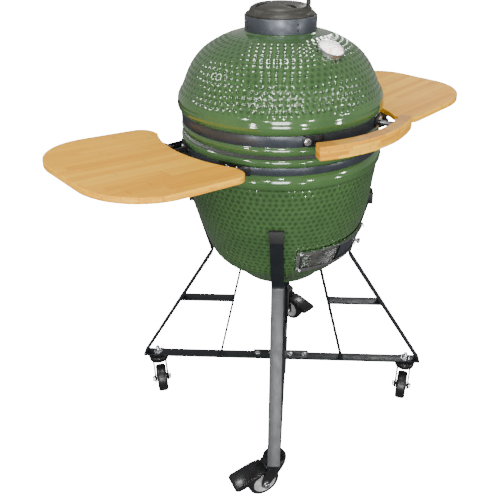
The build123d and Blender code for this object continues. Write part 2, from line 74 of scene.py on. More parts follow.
# ---- driving dimensions
# Metres, and degrees measured about the kamado from the front, positive towards +X.
PIT_PITCH = 16 * MM  # glaze dimples, centre to centre
PIT_ROW = 13.6 * MM
PIT_DEPTH = 2.4 * MM
DOME_PITS = (1.021, 1.163)  # heights between which the lid is dimpled
BOWL_PITS = (0.506, 0.852)
DOME_MIDDLE, BOWL_MIDDLE = 0.98, 0.80  # points on the axis that the outsides face away from
SEGMENTS = 600
GLAZE_STEP = 2.7 * MM
GLAZE_SHARP = 42.0
GAUGE_HOLE_R = 6.5 * MM
DRAFT_HALF = 88 * MM  # half the width of the draft opening, cut from outside the bowl to inside it
DRAFT_CUT = (-0.26, -0.12)
DRAFT_MARGIN = 14 * MM

BAR_W, BAR_T = 35 * MM, 6 * MM
FRAME_BEARINGS = dict(zip(CORNERS, (-45.0, 45.0, 135.0, -135.0)))
LEG = ((458.45 * MM, 129 * MM), (204 * MM, 537 * MM), (250 * MM, 715 * MM))  # (radius, height)
STRUT = ((202 * MM, 129 * MM), (119 * MM, 488 * MM))
FLOOR_BAR = (18.6 * MM, 462 * MM)  # radii of its ends
BEND_R = 22 * MM
RUNG_Z = 353 * MM
FLOOR_Z = 123 * MM
FLOOR_TOP = FLOOR_Z + BAR_T

GAUGE_LEAN = 65.0
GAUGE_AT = Vector((0, -0.1694, 1.1415))
DIAL_FACE = 3 * MM  # heights above GAUGE_AT, along the dial's axis
POINTER = (3.7 * MM, 4.6 * MM)
SHELF_TILT = 4.3
SHELF_PIVOT = (0.298, 0.900)
SHELF_TOP, SHELF_PLY = 27.8 * MM, 14 * MM / 3  # above the pivot, in the tilted frame
COLLAR_SCREW_Z = (1.178, 1.191)
COLLAR_SCREW_TURN = -16


# ---- materials
LOOKS = {}


class Look:
    """A node-based material, wired up one node at a time and kept in LOOKS under its name."""

    def __init__(self, name, sockets):
        self.material = LOOKS[name] = bpy.data.materials.new(name)
        self.material.use_nodes = True
        self.tree = self.material.node_tree
        self.shader = self.tree.nodes["Principled BSDF"]
        self.place = self.add("ShaderNodeTexCoord").outputs["Object"]
        for socket, value in sockets.items():
            self.shader.inputs[socket].default_value = value

    def add(self, kind, inputs=None, **settings):
        node = self.tree.nodes.new(kind)
        for key, value in settings.items():
            setattr(node, key, value)
        for key, value in (inputs or {}).items():
            self.feed(node.inputs[key], value)
        return node

    def feed(self, socket, value):
        """Link a socket to an output, or set it to a number or a colour."""
        if isinstance(value, bpy.types.NodeSocket):
            self.tree.links.new(value, socket)
        else:
            socket.default_value = value

    def maths(self, operation, *values):
        node = self.add("ShaderNodeMath", operation=operation)
        for socket, value in zip(node.inputs, values):
            self.feed(socket, value)
        return node.outputs[0]

    def times(self, first, second):
        return self.maths("MULTIPLY", first, second)

    def plus(self, first, second):
        return self.maths("ADD", first, second)

    def vector(self, x, y, z):
        return self.add("ShaderNodeCombineXYZ", {"X": x, "Y": y, "Z": z}).outputs[0]

    def split(self, vector=None):
        node = self.add("ShaderNodeSeparateXYZ", {"Vector": vector or self.place})
        return list(node.outputs)

    def noise(self, scale, detail=4.0, rough=0.5, vector=None):
        inputs = {"Vector": vector or self.place, "Scale": scale, "Detail": detail, "Roughness": rough}
        return self.add("ShaderNodeTexNoise", inputs).outputs["Fac"]

    def cells(self, scale, vector=None):
        inputs = {"Vector": vector or self.place, "Scale": scale}
        return self.add("ShaderNodeTexVoronoi", inputs).outputs["Distance"]

    def random(self, vector):
        return self.add("ShaderNodeTexWhiteNoise", {"Vector": vector}).outputs["Value"]

    def spread(self, value, low, high, new_low=0.0, new_high=1.0):
        """Stretch a range of a value onto another, clamped."""
        inputs = {"Value": value, "From Min": low, "From Max": high, "To Min": new_low, "To Max": new_high}
        return self.add("ShaderNodeMapRange", inputs).outputs["Result"]

    def ramp(self, value, *stops):
        node = self.add("ShaderNodeValToRGB", {"Fac": value})
        elements = node.color_ramp.elements
        while len(elements) < len(stops):
            elements.new(0.5)
        for element, (position, colour) in zip(elements, stops):
            element.position = position
            element.color = (*colour, 1)
        return node.outputs["Color"]

    def mix(self, amount, first, second, how="MIX"):
        node = self.add("ShaderNodeMix", data_type="RGBA", blend_type=how)
        factor, a, b = node.inputs[0], node.inputs[6], node.inputs[7]
        for socket, value in ((factor, amount), (a, first), (b, second)):
            self.feed(socket, (*value, 1) if isinstance(value, tuple) and len(value) == 3 else value)
        return node.outputs[2]

    def colour(self, value):
        self.feed(self.shader.inputs["Base Color"], value)

    def shades(self, value, dark, light, low=0.3, high=0.7):
        self.colour(self.ramp(value, (low, dark), (high, light)))

    def rough(self, value, low, high, smooth, coarse):
        """Roughness from smooth to coarse as a value goes from low to high."""
        self.feed(self.shader.inputs["Roughness"], self.spread(value, low, high, smooth, coarse))

    def bump(self, height, depth):
        """Add relief of a real depth on top of any relief already there."""
        node = self.add("ShaderNodeBump", {"Height": height, "Distance": depth})
        normal = self.shader.inputs["Normal"]
        if normal.links:
            self.tree.links.new(normal.links[0].from_socket, node.inputs["Normal"])
        self.tree.links.new(node.outputs["Normal"], normal)


def green_glaze():
    """Glossy green glaze: painted shade darkens the dimples by their depth, with fine specks and a slight
    wobble.
    """
    look = Look("green_ceramic", {"Coat Weight": 0.6, "Coat Roughness": 0.04, "IOR": 1.55})
    dimple_shade = look.add("ShaderNodeAttribute", attribute_name="pit").outputs["Fac"]
    cloud = look.noise(7, 5, 0.6)
    base = look.ramp(cloud, (0.3, (0.034, 0.084, 0.024)), (0.7, (0.054, 0.120, 0.035)))
    # painted shade: the base colour is mixed towards near black inside the dimples, deeper dimples darker
    dimple_shaded = look.mix(look.times(dimple_shade, 0.85), base, (0.007, 0.026, 0.005))
    speck = look.spread(look.noise(520, 2, 0.6), 0.66, 0.74)
    look.colour(look.mix(look.times(speck, 0.35), dimple_shaded, (0.10, 0.20, 0.08)))
    look.rough(look.noise(60, 4, 0.6), 0.3, 0.75, 0.06, 0.15)
    look.bump(look.noise(90, 3, 0.5), 0.12 * MM)
    look.bump(look.noise(900, 2, 0.5), 0.01 * MM)


def coated_steel(name, dark, light, roughness, metallic=0.0, grain=1400, relief=0.03):
    """Powder-coated steel: fine orange peel, faint cloudiness and dust."""
    look = Look(name, {"Metallic": metallic})
    cloud = look.times(look.noise(14, 5, 0.6), 0.7)
    tone = look.plus(cloud, look.times(look.noise(grain, 2), 0.3))
    look.shades(tone, dark, light)
    look.rough(look.noise(35, 5, 0.65), 0.3, 0.7, roughness - 0.06, roughness + 0.08)
    look.bump(look.noise(grain, 3, 0.6), relief * MM)


def black_felt():
    """Pressed felt: matted fibres with a soft sheen."""
    look = Look("black_felt", {"Sheen Weight": 0.5, "Sheen Roughness": 0.6, "Specular IOR Level": 0.15})
    fibre = look.noise(900, 6, 0.75)
    look.shades(fibre, (0.004, 0.004, 0.004), (0.03, 0.03, 0.031), 0.3, 0.75)
    look.rough(fibre, 0.2, 0.8, 0.85, 1.0)
    look.bump(fibre, 0.5 * MM)


def fire_clay():
    """Bare fired clay: buff and sandy, with small dark grog and soot towards the fire."""
    look = Look("fire_clay", {"Specular IOR Level": 0.25})
    height = look.split()[2]
    sand = look.ramp(look.noise(180, 6, 0.7), (0.3, (0.40, 0.30, 0.20)), (0.7, (0.58, 0.46, 0.33)))
    grog = look.spread(look.cells(160), 0.12, 0.2, 1.0, 0.0)
    sand = look.mix(look.times(grog, 0.45), sand, (0.20, 0.14, 0.10))
    smoke = look.spread(look.noise(9, 5, 0.6), 0.45, 0.75)
    soot = look.times(smoke, look.spread(height, 0.55, 0.84, 0.8, 0.25))
    look.colour(look.mix(soot, sand, (0.05, 0.045, 0.04)))
    look.rough(look.noise(80), 0.3, 0.7, 0.8, 0.95)
    look.bump(look.noise(420, 5, 0.7), 0.35 * MM)


def cast_iron(name, dark, light, roughness):
    """Sand-cast iron under a thin coat: pitted and a little uneven."""
    look = Look(name, {"Metallic": 0.25})
    sand = look.noise(650, 5, 0.7)
    look.shades(look.noise(30, 5, 0.65), dark, light)
    look.rough(sand, 0.25, 0.75, roughness - 0.08, roughness + 0.12)
    look.bump(sand, 0.16 * MM)
    look.bump(look.noise(70, 3), 0.2 * MM)


def brushed_steel(name, roughness=0.26, dark=0.42, light=0.66):
    """Stainless steel, brushed along the sweep of the sheet."""
    look = Look(name, {"Metallic": 1.0})
    x, y, z = look.split()
    along = look.maths("ARCTAN2", x, y)
    grain_at = look.vector(look.times(along, 9), 0.0, look.times(z, 2600))
    lines = look.noise(1.0, 4, 0.7, grain_at)
    look.shades(lines, (dark, dark, dark), (light, light, light), 0.25, 0.75)
    look.rough(lines, 0.2, 0.8, roughness - 0.07, roughness + 0.12)
    look.bump(lines, 0.02 * MM)


def zinc_plate():
    """Bright zinc plate with faint spangle and handling marks."""
    look = Look("zinc", {"Metallic": 1.0})
    spangle = look.noise(420, 4, 0.6)
    look.shades(spangle, (0.52, 0.53, 0.54), (0.76, 0.76, 0.75))
    look.rough(look.noise(90, 5, 0.7), 0.3, 0.7, 0.16, 0.34)
    look.bump(spangle, 0.02 * MM)


def dark_rubber(name, colour, roughness, relief):
    """Moulded rubber or nylon: near black, with mould texture and a little bloom."""
    look = Look(name, {"Specular IOR Level": 0.45})
    bloom = look.spread(look.noise(45, 5, 0.65), 0.45, 0.8)
    look.colour(look.mix(look.times(bloom, 0.5), colour, tuple(2.2 * c for c in colour)))
    look.rough(look.noise(150, 4, 0.6), 0.3, 0.7, roughness - 0.06, roughness + 0.1)
    look.bump(look.noise(1100, 3, 0.6), relief * MM)


def dial_white():
    look = Look("dial_white", {"Coat Weight": 0.3})
    look.shades(look.noise(220, 4), (0.30, 0.29, 0.27), (0.38, 0.37, 0.34), 0.35, 0.7)
    look.rough(look.noise(300), 0.3, 0.7, 0.32, 0.45)


def dial_ink(name, colour):
    look = Look(name, {})
    look.colour(look.mix(look.noise(900, 3), colour, tuple(1.35 * c for c in colour)))
    look.rough(look.noise(500), 0.3, 0.7, 0.4, 0.55)


def clear_glass():
    sockets = {"Transmission Weight": 1.0, "IOR": 1.45, "Base Color": (0.98, 0.99, 0.99, 1)}
    look = Look("clear_glass", sockets)
    look.rough(look.noise(60, 4), 0.3, 0.7, 0.0, 0.03)


BOARD_TONES = ((0.58, 0.21, 0.006), (0.86, 0.39, 0.014), (0.98, 0.53, 0.035))
HANDLE_TONES = ((0.46, 0.15, 0.006), (0.82, 0.37, 0.014), (0.98, 0.57, 0.050))


def bamboo(look, along, across, layer, strip, run, tones):
    """Laminated bamboo. Strips of a given width lie side by side and are jointed end to end every run."""
    index = look.maths("FLOOR", look.maths("DIVIDE", across, strip))
    shift = look.random(look.vector(index, layer, 3.7))
    cell = look.plus(look.maths("DIVIDE", along, run), look.times(shift, 7))
    piece = look.maths("FLOOR", cell)
    tone = look.random(look.vector(index, piece, layer))
    offset = look.times(tone, 31)
    fibre_at = look.vector(look.times(along, 11), look.times(across, 900), offset)
    fibre = look.noise(1.0, 3, 0.6, fibre_at)
    band_at = look.vector(look.times(along, 3.5), look.times(across, 190), offset)
    band = look.noise(1.0, 4, 0.6, band_at)
    value = look.plus(look.times(tone, 0.36), look.times(band, 0.50))
    value = look.plus(value, look.times(fibre, 0.36))
    base = look.ramp(value, (0.28, tones[0]), (0.55, tones[1]), (0.85, tones[2]))
    # a knuckle of the cane crosses each strip once, and the glue lines show faintly
    knot_at = look.spread(look.random(look.vector(piece, index, 9.1)), 0, 1, 0.2, 0.8)
    from_knot = look.maths("ABSOLUTE", look.maths("SUBTRACT", look.maths("FRACT", cell), knot_at))
    knot = look.spread(look.times(from_knot, run), 0.6 * MM, 2.4 * MM, 0.5, 0.0)
    base = look.mix(knot, base, (0.36, 0.17, 0.045))
    end = look.times(look.maths("PINGPONG", cell, 0.5), run)
    side = look.maths("PINGPONG", across, look.times(strip, 0.5))
    seam = look.spread(look.maths("MINIMUM", end, side), 0.12 * MM, 0.45 * MM, 0.55, 0.0)
    look.colour(look.mix(seam, base, (0.30, 0.14, 0.04)))
    look.rough(fibre, 0.25, 0.75, 0.38, 0.56)
    look.bump(fibre, 0.05 * MM)
    look.bump(seam, -0.05 * MM)


def bamboo_board(side):
    """Three plies, the middle one crosswise, in the tilted frame of one shelf."""
    sign = 1 if side == "right" else -1
    look = Look(f"bamboo_board_{side}", {"Specular IOR Level": 0.12})
    tilt = sign * radians(SHELF_TILT)
    pivot = Vector((sign * SHELF_PIVOT[0], 0, SHELF_PIVOT[1]))
    turn = Matrix.Rotation(tilt, 3, "Y")
    mapping = look.add("ShaderNodeMapping", {"Vector": look.place})
    mapping.inputs["Rotation"].default_value = (0, tilt, 0)
    mapping.inputs["Location"].default_value = -(turn @ pivot)
    x, y, z = look.split(mapping.outputs[0])
    layer = look.maths("FLOOR", look.maths("DIVIDE", look.maths("SUBTRACT", SHELF_TOP, z), SHELF_PLY))
    cross = look.maths("COMPARE", layer, 1.0, 0.1)
    lengthwise = look.maths("SUBTRACT", 1.0, cross)
    along = look.plus(look.times(x, lengthwise), look.times(y, cross))
    across = look.plus(look.times(y, lengthwise), look.times(x, cross))
    bamboo(look, along, across, layer, 21 * MM, 0.42, BOARD_TONES)


def bamboo_handle():
    """Four thin laminations that follow the bend of the handle."""
    look = Look("bamboo_handle", {"Specular IOR Level": 0.15})
    x, y, z = look.split()
    sweep = look.times(look.maths("ARCTAN2", x, look.times(y, -1.0)), 0.33)
    low, high = (corner.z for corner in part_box("handle_grip"))
    across = look.maths("SUBTRACT", z, low)
    bamboo(look, sweep, across, 5.0, (high - low) / 4, 78 * MM, HANDLE_TONES)


green_glaze()
coated_steel("dark_steel", (0.026, 0.031, 0.038), (0.042, 0.049, 0.060), 0.30, 0.3)
coated_steel("black_steel", (0.004, 0.004, 0.005), (0.010, 0.010, 0.011), 0.30)
coated_steel("stand_steel", (0.006, 0.008, 0.010), (0.013, 0.016, 0.019), 0.34, 0.2)
black_felt()
fire_clay()
cast_iron("cast_iron", (0.050, 0.051, 0.055), (0.080, 0.080, 0.082), 0.48)
cast_iron("damper_cap", (0.024, 0.023, 0.018), (0.044, 0.042, 0.033), 0.42)
coated_steel("damper_collar", (0.055, 0.061, 0.073), (0.082, 0.090, 0.105), 0.36, 0.5)
brushed_steel("stainless")
brushed_steel("vent_steel", 0.30, 0.16, 0.34)
zinc_plate()
dial_white()
clear_glass()
dial_ink("needle_red", (0.42, 0.02, 0.012))
dark_rubber("black_rubber", (0.010, 0.010, 0.010), 0.55, 0.05)
dark_rubber("caster_plastic", (0.007, 0.007, 0.008), 0.22, 0.01)
dark_rubber("caster_hub", (0.40, 0.40, 0.39), 0.28, 0.01)
dark_rubber("caster_tread", (0.009, 0.009, 0.010), 0.30, 0.02)
dial_ink("dial_black", (0.012, 0.012, 0.012))
bamboo_handle()
for side in SIDES:
    bamboo_board(side)


# ---- mesh tools
def polar(bearing, radius=0.0, height=0.0):
    """A frame at a bearing: X outwards from the kamado's axis, Z up."""
    turn = Matrix.Rotation(radians(bearing - 90), 4, "Z")
    return turn @ Matrix.Translation((radius, 0, height))


def facing(origin, axis):
    """A frame at a point with Z along an axis and X level."""
    z = Vector(axis).normalized()
    x = Vector((0, 0, 1)).cross(z)
    x = x.normalized() if x.length > 1e-6 else Vector((1, 0, 0))
    y = z.cross(x)
    return Matrix.Translation(origin) @ Matrix((x, y, z)).transposed().to_4x4()


def around(radius, angle, height=0.0):
    return Vector((radius * cos(angle), radius * sin(angle), height))


def in_mm(points):
    return [tuple(value * MM for value in point) for point in points]


def skin(bm, rings, closed=False):
    """Join rings of points into a solid, with end caps unless the last ring meets the first."""
    rows = [[bm.verts.new(point) for point in ring] for ring in rings]
    count = len(rows[0])
    for i in range(len(rows) if closed else len(rows) - 1):
        a, b = rows[i], rows[(i + 1) % len(rows)]
        for j in range(count):
            k = (j + 1) % count
            bm.faces.new((a[j], a[k], b[k], b[j]))
    if not closed:
        bm.faces.new(list(reversed(rows[0])))
        bm.faces.new(rows[-1])


def lathe(bm, profile, segments, place=Matrix(), closed=False):
    """Turn (radius, height) points about a frame's Z, with flat caps where the profile is open."""
    angles = [2 * pi * i / segments for i in range(segments)]
    rings = [[place @ around(radius, a, height) for a in angles] for radius, height in profile]
    skin(bm, rings, closed)


def tube(bm, points, radius, sides=8, swell=None):
    """A round bar along a path, kept from twisting, with its radius scaled at each point by swell."""
    points = [Vector(p) for p in points]
    count = len(points)
    angles = [2 * pi * j / sides for j in range(sides)]
    side, rings = None, []
    for i, point in enumerate(points):
        before = points[i - 1] if i else point
        after = points[i + 1] if i < count - 1 else point
        tangent = (after - before).normalized()
        if side is None:
            side = tangent.orthogonal().normalized()
        side = (side - tangent * side.dot(tangent)).normalized()
        up = tangent.cross(side)
        reach = radius * swell[i] if swell else radius
        rings.append([point + reach * (cos(a) * side + sin(a) * up) for a in angles])
    skin(bm, rings)


WASHER_T = 0.12  # a washer's thickness, as a part of its bolt's width across flats


def hex_bolt(bm, place, across, height, washer=0.0):
    """A hexagon head with a chamfered top, on a washer if one is asked for."""
    radius, ease = across / sqrt(3), 0.3 * MM
    seat = WASHER_T * across if washer else 0.0
    if washer:
        rim = [(washer - ease, 0), (washer, ease), (washer, seat - ease), (washer - ease, seat)]
        lathe(bm, rim, 28, place)
    head = ((0.96, 0.0), (1.0, 0.06), (1.0, 0.80), (0.93, 0.93), (0.84, 1.0))
    lathe(bm, [(radius * wide, seat + height * level) for wide, level in head], 6, place)


def dome_bolt(bm, place, radius, height):
    """A round button head with a hexagon stud."""
    arc = np.linspace(0, 1.15, 7)
    profile = [(radius * cos(a), height * (0.25 + 0.75 * sin(a))) for a in arc]
    lathe(bm, [(radius, 0)] + profile, 24, place)
    top = profile[-1][1]
    lathe(bm, [(0.40 * radius, top - 0.2 * MM), (0.40 * radius, top + 0.12 * MM)], 6, place)


def cad_mesh(node):
    bm = bmesh.new()
    bm.from_mesh(NODES[node].data)
    bmesh.ops.remove_doubles(bm, verts=bm.verts, dist=1e-6)
    return bm


def to_mesh(bm, name):
    mesh = bpy.data.meshes.new(name)
    bm.to_mesh(mesh)
    bm.free()
    return mesh


def put(name, data):
    """A new object, in the scene."""
    thing = bpy.data.objects.new(name, data)
    bpy.context.scene.collection.objects.link(thing)
    return thing


def islands(node):
    """The separate solids of a CAD node, each as an array of points."""
    bm = cad_mesh(node)
    seen, groups = set(), []
    for vert in bm.verts:
        if vert in seen:
            continue
        stack, group = [vert], []
        seen.add(vert)
        while stack:
            current = stack.pop()
            group.append(tuple(current.co))
            for edge in current.link_edges:
                other = edge.other_vert(current)
                if other not in seen:
                    seen.add(other)
                    stack.append(other)
        groups.append(np.array(group))
    bm.free()
    return sorted(groups, key=lambda g: tuple(np.round(g.mean(0), 4)))


def bolt_seats(node):
    """For each bolt head on a strap or frame: a frame at its seat, facing outwards, and its height."""
    for group in islands(node):
        centre = Vector(((group.min(0) + group.max(0)) / 2).tolist())
        out = Vector((centre.x, centre.y, 0)).normalized()
        reach = group[:, :2] @ np.array(out.xy)
        seat, tip = float(reach.min()), float(reach.max())
        yield facing(Vector((out.x * seat, out.y * seat, centre.z)), out), tip - seat


def finished(bm, name, body, slot, *replaced, look=None, sharp=35.0):
    """Turn a bmesh into a piece: its shading, its look (the slot's unless another is given), its body, and
    the CAD nodes it stands for, which are hidden.
    """
    bmesh.ops.recalc_face_normals(bm, faces=bm.faces)
    return finished_mesh(to_mesh(bm, name), name, body, slot, *replaced, look=look, sharp=sharp)


def finished_mesh(mesh, name, body, slot, *replaced, look=None, sharp=35.0):
    mesh.materials.clear()
    mesh.materials.append(LOOKS[look or slot])
    mesh.shade_smooth()
    mesh.set_sharp_from_angle(angle=radians(sharp))
    piece = put(name, mesh)
    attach(piece, body)
    if replaced:
        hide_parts(*replaced)
    return piece


SHARP_EDGE = 40.0


def softened(node, width, slot, segments=2, look=None):
    """A copy of a CAD node with its sharp edges eased by a width in mm, shown in its place."""
    bm = cad_mesh(node)
    bmesh.ops.dissolve_limit(bm, angle_limit=radians(0.5), verts=bm.verts, edges=bm.edges)
    limit = radians(SHARP_EDGE)
    edges = [e for e in bm.edges if len(e.link_faces) == 2 and e.calc_face_angle(0) > limit]
    bmesh.ops.bevel(bm, geom=edges, offset=width * MM, segments=segments, profile=0.5, affect="EDGES",
                    clamp_overlap=True)
    finished(bm, f"{node}_eased", NODES[node]["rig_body"], slot, node, look=look, sharp=32)


# ---- ceramic shells
SECTION_BEARING = 93.7  # clear of the draft opening and the thermometer's hole


def section(node):
    """Where a half-plane cuts a CAD node: its outline as (radius, height), and whether it closes."""
    bm = cad_mesh(node)
    angle = radians(SECTION_BEARING)
    out = Vector((sin(angle), -cos(angle), 0))
    across = Vector((-out.y, out.x, 0))
    everything = bm.verts[:] + bm.edges[:] + bm.faces[:]
    cut = bmesh.ops.bisect_plane(bm, geom=everything, plane_co=(0, 0, 0), plane_no=across)["geom_cut"]
    links = {}
    for edge in (e for e in cut if isinstance(e, bmesh.types.BMEdge)):
        a, b = edge.verts
        if min(a.co.dot(out), b.co.dot(out)) > -1e-7:
            links.setdefault(a, []).append(b)
            links.setdefault(b, []).append(a)
    ends = [v for v, near in links.items() if len(near) == 1]
    start = min(ends, key=lambda v: v.co.z) if ends else min(links, key=lambda v: v.co.z)
    chain, current = [start], links[start][0]
    while current is not start:
        chain.append(current)
        onward = [v for v in links[current] if v is not chain[-2]]
        if not onward:
            break
        current = onward[0]
    points = [(v.co.dot(out), v.co.z) for v in chain]
    bm.free()
    return points, not ends


def smooth_run(points, step):
    """Evenly spaced points on a curve through a run of points."""
    points = np.array(points)
    padded = np.vstack([2 * points[0] - points[1], points, 2 * points[-1] - points[-2]])
    fine = []
    for i in range(1, len(padded) - 2):
        p0, p1, p2, p3 = padded[i - 1:i + 3]
        for t in np.linspace(0, 1, 24, endpoint=False):
            bend = (2 * p0 - 5 * p1 + 4 * p2 - p3) * t + (3 * p1 - p0 - 3 * p2 + p3) * t * t
            fine.append(p1 + 0.5 * t * ((p2 - p0) + bend))
    fine.append(padded[-2])
    fine = np.array(fine)
    lengths = np.concatenate([[0], np.cumsum(np.linalg.norm(np.diff(fine, axis=0), axis=1))])
    fewest = min(2, len(points) - 1)
    at = np.linspace(0, lengths[-1], max(fewest, round(lengths[-1] / step)), endpoint=False)
    return [np.array((np.interp(a, lengths, fine[:, 0]), np.interp(a, lengths, fine[:, 1]))) for a in at]


def resample(points, closed, step, corner=24.0):
    """Rows for a lathe: corners kept, smooth stretches evenly spaced."""
    count = len(points)
    corners = []
    for i in range(count):
        if not closed and i in (0, count - 1):
            corners.append(i)
            continue
        a, b, c = (np.array(points[(i + k) % count]) for k in (-1, 0, 1))
        first, second = b - a, c - b
        turn = degrees(abs(atan2(first[0] * second[1] - first[1] * second[0], first @ second)))
        if turn > corner:
            corners.append(i)
    rows = []
    for i, begin in enumerate(corners):
        if i == len(corners) - 1 and not closed:
            break
        finish = corners[(i + 1) % len(corners)]
        finish += count if finish <= begin else 0
        run = [points[k % count] for k in range(begin, finish + 1)]
        rows += smooth_run(run, step)
    if not closed:
        rows.append(np.array(points[-1]))
    return np.array(rows)


SEGMENT_ANGLES = np.arange(SEGMENTS) * 2 * pi / SEGMENTS


def pit_field(rows, mask, rng):
    """How deep the glaze dips, from 0 to 1, at every (row, segment) of a lathe."""
    steps = np.linalg.norm(np.diff(rows, axis=0), axis=1)
    run = np.concatenate([[0], np.cumsum(steps)])
    field = np.zeros((len(rows), SEGMENTS))
    active = np.nonzero(mask > 0)[0]
    start = run[active[0]]
    lines = int((run[active[-1]] - start) / PIT_ROW) + 2
    pits = []
    for line in range(lines):
        radius = float(np.interp(start + line * PIT_ROW, run, rows[:, 0]))
        count = max(8, 4 * round(2 * pi * radius / PIT_PITCH / 4))
        jitter = rng.uniform(-0.07, 0.07, (count, 2))
        depth = rng.uniform(0.78, 1.0, count)
        pits.append((start + line * PIT_ROW, radius, count, jitter, depth))
    reach = 0.54 * PIT_PITCH
    for i in active:
        nearest = np.full(SEGMENTS, 9.0)
        strength = np.ones(SEGMENTS)
        line = int((run[i] - start) / PIT_ROW)
        for k in range(max(0, line - 1), min(lines, line + 3)):
            centre, radius, count, jitter, depth = pits[k]
            turn = SEGMENT_ANGLES * count / (2 * pi) - 0.5 * (k % 2)
            which = np.round(turn).astype(int) % count
            aside = (turn - np.round(turn) + jitter[which, 0]) * 2 * pi * radius / count
            away = run[i] - centre + jitter[which, 1] * PIT_ROW
            distance = np.sqrt(aside**2 + away**2) / reach
            closer = distance < nearest
            nearest = np.where(closer, distance, nearest)
            strength = np.where(closer, depth[which], strength)
        field[i] = mask[i] * strength * (0.5 + 0.5 * np.cos(pi * np.minimum(nearest, 1)))
    return field


def glazed_shell(name, node, body, pits_between, middle, seed):
    """A ceramic shell lathed from its CAD section, with dimples pressed into its outside."""
    outline, closed = section(node)
    rows = resample(outline, closed, GLAZE_STEP)
    ahead = np.roll(rows, -1, axis=0) - np.roll(rows, 1, axis=0)
    if not closed:
        ahead[0], ahead[-1] = rows[1] - rows[0], rows[-1] - rows[-2]
    area = np.sum(rows[:, 0] * np.roll(rows[:, 1], -1) - np.roll(rows[:, 0], -1) * rows[:, 1])
    normals = np.stack([ahead[:, 1], -ahead[:, 0]], axis=1) * np.sign(area)
    normals /= np.linalg.norm(normals, axis=1)[:, None]
    outside = (normals * (rows - np.array((0, middle)))).sum(axis=1) > 0
    low, high = pits_between
    edge = 6 * MM
    rise = np.clip((rows[:, 1] - low) / edge, 0, 1) * np.clip((high - rows[:, 1]) / edge, 0, 1)
    mask = np.where(outside, rise, 0)
    rng = np.random.default_rng(seed)
    field = pit_field(rows, mask, rng)
    angles = SEGMENT_ANGLES
    wobble = np.zeros_like(field)
    for turns, lift, phase in ((3, 21, 0.4), (5, 34, 2.0), (8, 55, 4.1)):
        wobble += 0.05 * MM * np.sin(turns * angles[None] + lift * rows[:, 1:2] + phase)
    push = np.where(outside, 1, 0)[:, None] * (wobble - 0.12 * MM) - PIT_DEPTH * field
    radius = np.maximum(rows[:, 0:1] + normals[:, 0:1] * push, 0.0)
    height = rows[:, 1:2] + normals[:, 1:2] * push
    points = np.stack([radius * np.cos(angles), radius * np.sin(angles), height + 0 * radius], axis=2)
    count = len(rows)
    spans = np.arange(count if closed else count - 1)
    i, j = (grid.ravel() for grid in np.meshgrid(spans, np.arange(SEGMENTS), indexing="ij"))
    i2, j2 = (i + 1) % count, (j + 1) % SEGMENTS
    quads = np.stack([i * SEGMENTS + j, i2 * SEGMENTS + j,
                      i2 * SEGMENTS + j2, i * SEGMENTS + j2], axis=1)
    mesh = bpy.data.meshes.new(name)
    mesh.from_pydata(points.reshape(-1, 3), [], quads)
    # the glaze reads this dimple depth to paint shade into the dimples
    pit = mesh.attributes.new("pit", "FLOAT", "POINT")
    pit.data.foreach_set("value", field.astype(np.float32).ravel())
    bm = bmesh.new()
    bm.from_mesh(mesh)
    if not closed:
        axis_verts = [v for v in bm.verts if v.co.xy.length < 0.2 * MM]
        bmesh.ops.remove_doubles(bm, verts=axis_verts, dist=0.5 * MM)
    bmesh.ops.recalc_face_normals(bm, faces=bm.faces)
    bm.to_mesh(mesh)
    bm.free()
    return finished_mesh(mesh, name, body, "green_ceramic", node, sharp=GLAZE_SHARP)


def carve(piece, cutter_mesh):
    """Cut a closed mesh out of a piece."""
    cutter = put("cutter", cutter_mesh)
    step = piece.modifiers.new("carve", "BOOLEAN")
    step.object, step.operation, step.solver = cutter, "DIFFERENCE", "EXACT"
    bpy.context.view_layer.update()
    evaluated = piece.evaluated_get(bpy.context.evaluated_depsgraph_get())
    mesh = bpy.data.meshes.new_from_object(evaluated)
    piece.modifiers.clear()
    old, piece.data = piece.data, mesh
    bpy.data.meshes.remove(old)
    bpy.data.objects.remove(cutter)
    mesh.shade_smooth()
    mesh.set_sharp_from_angle(angle=radians(GLAZE_SHARP))


def gauge_place(turn=0.0):
    """The thermometer's frame: origin on the dome, Z out of the dial."""
    lean = radians(GAUGE_LEAN)
    return facing(GAUGE_AT, (0, -cos(lean), sin(lean))) @ Matrix.Rotation(radians(turn), 4, "Z")


def box_mesh(low, high, bevel):
    """A box between two corners, with rounded edges."""
    bm = bmesh.new()
    bmesh.ops.create_cube(bm, size=1)
    low, high = Vector(low), Vector(high)
    for vert in bm.verts:
        vert.co = Vector([(low[k] + high[k]) / 2 + vert.co[k] * (high[k] - low[k]) for k in range(3)])
    bmesh.ops.bevel(bm, geom=bm.edges[:], offset=bevel, segments=3, profile=0.5, affect="EDGES")
    return to_mesh(bm, "box")


def shells():
    dome = glazed_shell("dome_glaze", "dome_shell", "lid", DOME_PITS, DOME_MIDDLE, 11)
    bm = bmesh.new()
    lathe(bm, [(GAUGE_HOLE_R, -0.06), (GAUGE_HOLE_R, 0.03)], 32, gauge_place())
    carve(dome, to_mesh(bm, "hole"))
    bowl = glazed_shell("bowl_glaze", "base_shell", "base", BOWL_PITS, BOWL_MIDDLE, 12)
    low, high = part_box("vent_frame")
    front, back = DRAFT_CUT
    carve(bowl, box_mesh((-DRAFT_HALF, front, low.z + DRAFT_MARGIN),
                         (DRAFT_HALF, back, high.z - DRAFT_MARGIN), 3 * MM))


shells()


# ---- stand
def bent_path(points, radius, steps=8):
    """A path in (radius, height) with each inner corner turned into an arc."""
    points = [Vector(p) for p in points]
    path = [points[0]]
    for before, corner, after in zip(points, points[1:], points[2:]):
        a, b = (before - corner).normalized(), (after - corner).normalized()
        half = a.angle(b) / 2
        reach = radius / tan(half)
        centre = corner + (a + b).normalized() * radius / sin(half)
        start, end = corner + a * reach - centre, corner + b * reach - centre
        sweep = start.angle_signed(end)
        for i in range(steps + 1):
            turn = Matrix.Rotation(-sweep * i / steps, 2)
            path.append(centre + turn @ start)
    path.append(points[-1])
    return path


